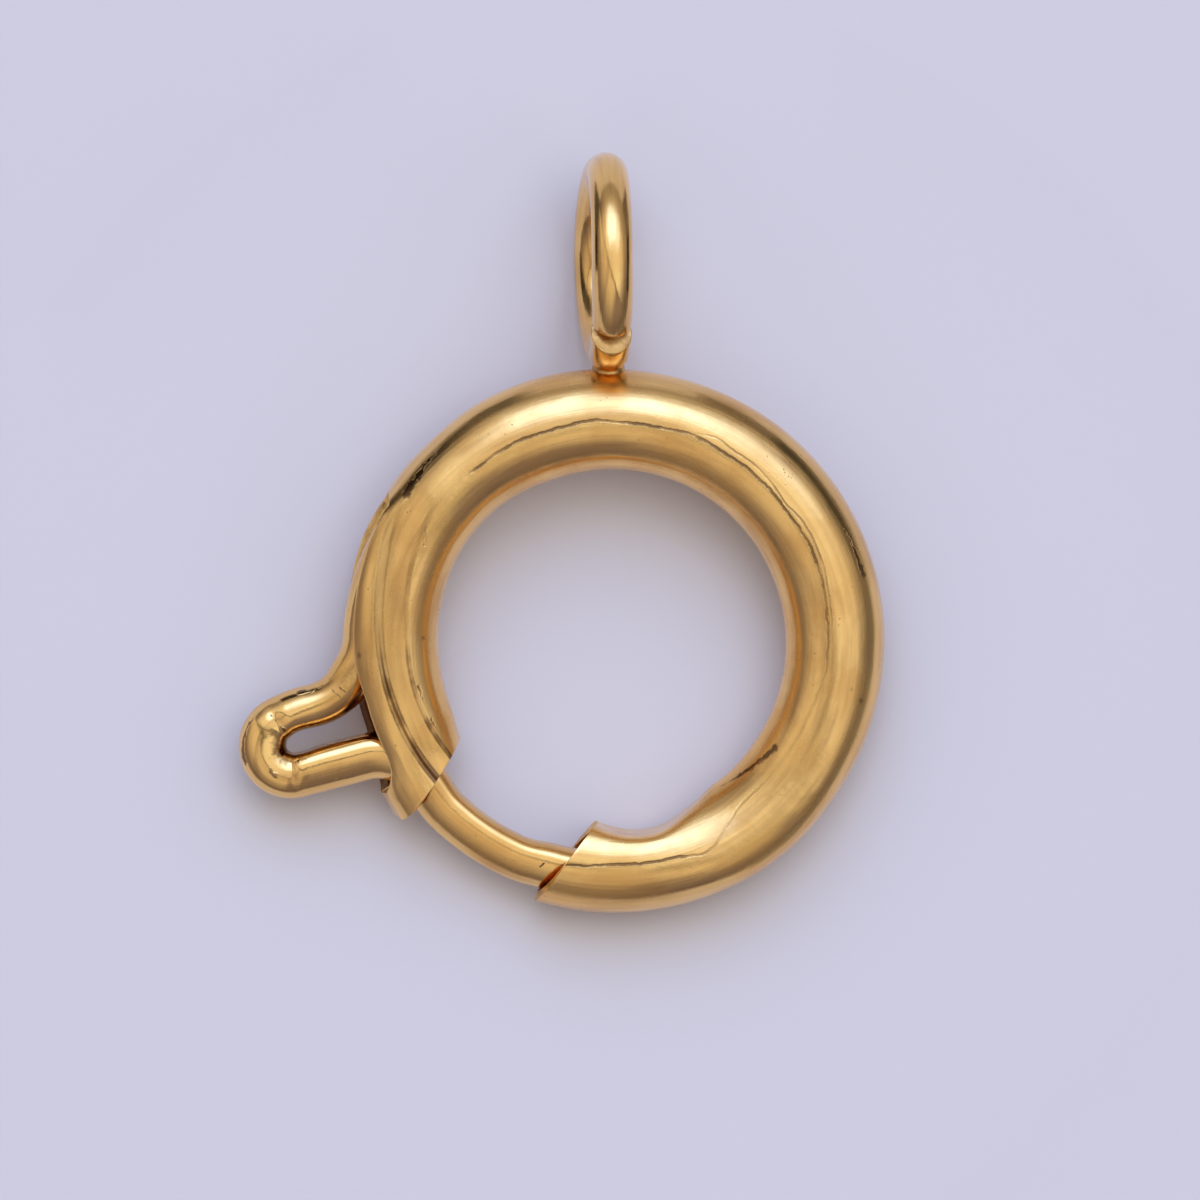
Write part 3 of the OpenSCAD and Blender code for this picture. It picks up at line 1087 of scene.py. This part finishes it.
bolt_points = []
bolt_grain = []
for i, (s, p) in enumerate(zip(wire_along, wire_path)):
    before = wire_path[max(i - 1, 0)]
    after = wire_path[min(i + 1, len(wire_path) - 1)]
    heading = (after - before).normalized()
    left = Vector((-heading.y, heading.x, 0))
    past_turn = hump(s, turn_to + 1.2, 0.5)
    gate_push = gate_bow * ease((s - 0.7) / 0.8) * (1 - ease((s - gate_long + 0.9) / 0.7))
    p = p + left * (gate_push - leg_sway * past_turn)
    outer_slim = leg_slim * past_turn
    inner_slim = 0.10 * hump(s, turn_to + 0.25, 0.4) + 0.04 * hump(s, turn_from - 0.2, 0.35) + gate_push
    from_end = min(s, wire_long - s)
    bevel = tip_bevel * (1 - clamp(from_end / tip_bevel)) ** 2
    lopside = lopside_most * (1 - ease((s - turn_from + 0.3) / 0.6))
    squash = ease((s - turn_from + 0.1) / 0.25) * (1 - ease((s - turn_to - 0.05) / 0.25))
    kink = hump(s, turn_from + 0.12, 0.07) + hump(s, turn_to, 0.07)
    for j in range(wire_sides):
        turn = math.radians(360 * j / wire_sides)
        wave = noise.noise(Vector((s * 0.9, math.cos(turn) * 0.8, math.sin(turn) * 0.8 + 7)))
        r = (wire_r - bevel) * (1 + 0.012 * wave)
        out = r * math.cos(turn) * (1 + 0.01 * squash)
        out -= outer_slim * max(math.cos(turn), 0) + inner_slim * min(math.cos(turn), 0)
        out -= lopside * r * max(math.sin(turn), 0) ** 2
        up = r * math.sin(turn) * (1 - 0.07 * squash - 0.035 * kink)
        bolt_points.append(p + left * out + Vector((0, 0, up)))
        bolt_grain.append((s, out, up))
bolt_faces = [face[::-1] for face in sweep_faces(len(wire_path), wire_sides)]
bolt = make_piece("bolt_wire", bolt_points, bolt_faces, bolt_grain)


def wire_spot(s, x):
    """Grain coordinates of a point on top of the wire, from its place along and across it"""
    return (s, x, math.sqrt(wire_r * wire_r - x * x))


turn_middle = (turn_from + turn_to) / 2
BOLT_SCRATCHES = [
    # from, to, width, depth, how dark
    (wire_spot(0.9, -0.1), wire_spot(1.0, 0.12), 0.03, 3.0, 0.8),
    (wire_spot(turn_from - 0.1, -0.3), wire_spot(turn_from + 0.1, 0.3), 0.05, 6.0, 0.5),
    (wire_spot(turn_to + 0.1, -0.3), wire_spot(turn_to - 0.05, 0.3), 0.05, 6.0, 0.5),
    (wire_spot(turn_to + 0.75, 0.40), wire_spot(turn_to + 1.75, 0.36), 0.10, 3.0, 0.85),
    (wire_spot(turn_to - 0.85, 0.44), wire_spot(turn_to - 0.15, 0.43), 0.08, 3.0, 0.85),
    (wire_spot(turn_to + 1.45, 0.12), wire_spot(turn_to + 1.50, -0.12), 0.03, 4.0, 0.0),
    (wire_spot(turn_to + 1.62, 0.05), wire_spot(turn_to + 1.66, -0.18), 0.03, 4.0, 0.5),
    (wire_spot(turn_from + 0.5, 0.05), wire_spot(turn_from + 0.8, -0.02), 0.09, 4.0, 0.55),
    # The last two are wide dark bands without relief along the inner side of the wire, out from the middle
    # of the thumb loop along both legs
    (wire_spot(turn_middle, -0.47), wire_spot(turn_to + 2.2, -0.47), 0.36, 0.0, 0.5),
    (wire_spot(turn_middle, -0.47), wire_spot(turn_from - 1.6, -0.47), 0.36, 0.0, 0.5),
]
bolt_gold = plate_gold("bolt_gold", BOLT_SCRATCHES, mark_length=2.2, mark_spacing=0.05, shine=0.15,
                       speck_share=0.38)
bolt.data.materials.append(bolt_gold)
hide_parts("bolt")
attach(bolt, "bolt")

# The floor
# A plain sheet of pale lavender card that the clasp lies on.
floor_z = cad_box[0].z
floor_half = 0.6
floor_mesh = bpy.data.meshes.new("floor")
corners = [(x * floor_half, y * floor_half, floor_z) for x, y in ((-1, -1), (1, -1), (1, 1), (-1, 1))]
floor_mesh.from_pydata(corners, [], [(0, 1, 2, 3)])
floor = bpy.data.objects.new("floor", floor_mesh)
bpy.context.scene.collection.objects.link(floor)
card = bpy.data.materials.new("lavender_card")
card.use_nodes = True
card_shader = card.node_tree.nodes["Principled BSDF"]
card_shader.inputs["Base Color"].default_value = (0.615, 0.572, 0.568, 1)
card_shader.inputs["Roughness"].default_value = 0.7
floor.data.materials.append(card)

# The lights
# A light tent: a large bright panel over the upper right with two small bluish hot spots, a dimmer
# one over the lower left with a narrow gap between them, and low grey and black cards.
key_direction = 55.0
tent = bpy.data.worlds.new("light_tent")
tent.use_nodes = True
sky = tent.node_tree
towards = add_node(sky, "ShaderNodeTexCoord").outputs["Generated"]
height = add_node(sky, "ShaderNodeSeparateXYZ", i0=towards).outputs[2]
ahead = vector_node(sky, "DOT_PRODUCT", towards, polar(1, key_direction))
aside = vector_node(sky, "DOT_PRODUCT", towards, polar(1, key_direction + 90))
tilt = math_node(sky, "DEGREES", math_node(sky, "ARCTAN2", ahead, height))
sideways = math_node(sky, "DEGREES", math_node(sky, "ARCSINE", aside))


def both_of(*shares):
    """Where all of these parts of the tent are lit, as one share"""
    whole = shares[0]
    for share in shares[1:]:
        whole = math_node(sky, "MULTIPLY", whole, share)
    return whole


def hot_spot(direction, from_top, reach, strength):
    spot = polar(math.sin(math.radians(from_top)), direction, math.cos(math.radians(from_top)))
    nearness = vector_node(sky, "DOT_PRODUCT", towards, spot)
    return remap(sky, nearness, math.cos(math.radians(reach)), math.cos(math.radians(6)), 0.0, strength)


key_edge = remap(sky, tilt, -11.0, -9.0)
key_end = remap(sky, height, math.cos(math.radians(79)), math.cos(math.radians(34)), 0.25, 1.0)
key_left = remap(sky, sideways, 60.0, 84.0, 1.0, 0.0)
key_right = remap(sky, sideways, -82.0, -42.0, 0.1, 1.0)
key_sides = both_of(key_right, key_left)
key_light = both_of(key_edge, key_end, key_sides)
fill_edge = remap(sky, tilt, -14.5, -12.5, 1.0, 0.0)
fill_end = remap(sky, tilt, -80.0, -20.0, 0.08, 1.0)
fill_right = remap(sky, sideways, -40.0, -18.0, 0.06, 1.0)
off_seam = math_node(sky, "ABSOLUTE", math_node(sky, "SUBTRACT", sideways, 14.0))
fill_sides = both_of(fill_right, remap(sky, off_seam, 3.0, 9.0, 0.55, 1.0))
fill_light = both_of(fill_edge, fill_end, fill_sides)
hot_light = math_node(sky, "ADD", hot_spot(96, 39, 28, 1.0), hot_spot(52, 43, 26, 0.45))
dark_gap = both_of(remap(sky, tilt, -14.5, -12.5), remap(sky, tilt, -11.0, -9.0, 1.0, 0.0), key_sides)
out_of_gap = math_node(sky, "SUBTRACT", 1.0, dark_gap, clamped=True)
room_light = both_of(remap(sky, height, 0.0, 0.5, 0.16, 0.24), out_of_gap)
black = (0, 0, 0, 1)
whole_tent = mix_colour(sky, key_light, black, (0.72, 0.76, 0.75, 1))
for light, tint in (
        (fill_light, (0.56, 0.54, 0.44, 1)), (hot_light, (0.80, 1.40, 3.2, 1)),
        (room_light, (0.95, 0.84, 1.1, 1))):
    whole_tent = vector_node(sky, "ADD", whole_tent, mix_colour(sky, light, black, tint))
sky.links.new(whole_tent, sky.nodes["Background"].inputs["Color"])
bpy.context.scene.world = tent
bpy.context.scene.view_settings.view_transform = "Standard"

lamp = bpy.data.lights.new("key", "AREA")
lamp.shape = "RECTANGLE"
lamp.size = 0.3
lamp.size_y = 0.2
lamp.energy = 0.42
lamp_box = bpy.data.objects.new("key", lamp)
lamp_box.matrix_world = (
    Matrix.Rotation(math.radians(key_direction - 90), 4, "Z")
    @ Matrix.Rotation(math.radians(-15), 4, "X")
    @ Matrix.Translation((0, 0, 0.4))
)
lamp_box.visible_glossy = False
bpy.context.scene.collection.objects.link(lamp_box)

LOW_CARDS = [
    # first direction, last direction, how light
    (-60, 15, 0.30),
    (15, 50, 0.03),
    (50, 70, 0.34),
    (110, 130, 0.16),
    (130, 150, 0.01),
]
card_r = 0.0145
card_top = 0.0030
card_folds = 12
for number, (first, last, shade) in enumerate(LOW_CARDS):
    name = "low_card_%d" % number
    grey = bpy.data.materials.new(name)
    grey.use_nodes = True
    grey_shader = grey.node_tree.nodes["Principled BSDF"]
    grey_shader.inputs["Base Color"].default_value = (shade, shade, shade, 1)
    grey_shader.inputs["Roughness"].default_value = 0.9
    arc = [polar(card_r, a) for a in steps(first, last, card_folds)]
    points = [(p.x, p.y, z) for p in arc for z in (floor_z, card_top)]
    faces = [(2 * i, 2 * i + 1, 2 * i + 3, 2 * i + 2) for i in range(card_folds)]
    mesh = bpy.data.meshes.new(name)
    mesh.from_pydata(points, [], faces)
    mesh.materials.append(grey)
    low_card = bpy.data.objects.new(name, mesh)
    low_card.visible_camera = False
    low_card.visible_diffuse = False
    low_card.visible_shadow = False
    low_card.visible_transmission = False
    bpy.context.scene.collection.objects.link(low_card)

# The camera
# It looks straight down, as the photograph does, from a little way up.
view_wide = 0.02657
camera_height = 0.25
view_middle = (-0.000288, 0.000908)
lens = bpy.data.cameras.new("camera")
lens.sensor_width = 36
lens.lens = lens.sensor_width * camera_height / view_wide
lens.clip_start = 0.001
camera = bpy.data.objects.new("camera", lens)
camera.location = (view_middle[0], view_middle[1], camera_height)
bpy.context.scene.collection.objects.link(camera)
bpy.context.scene.camera = camera
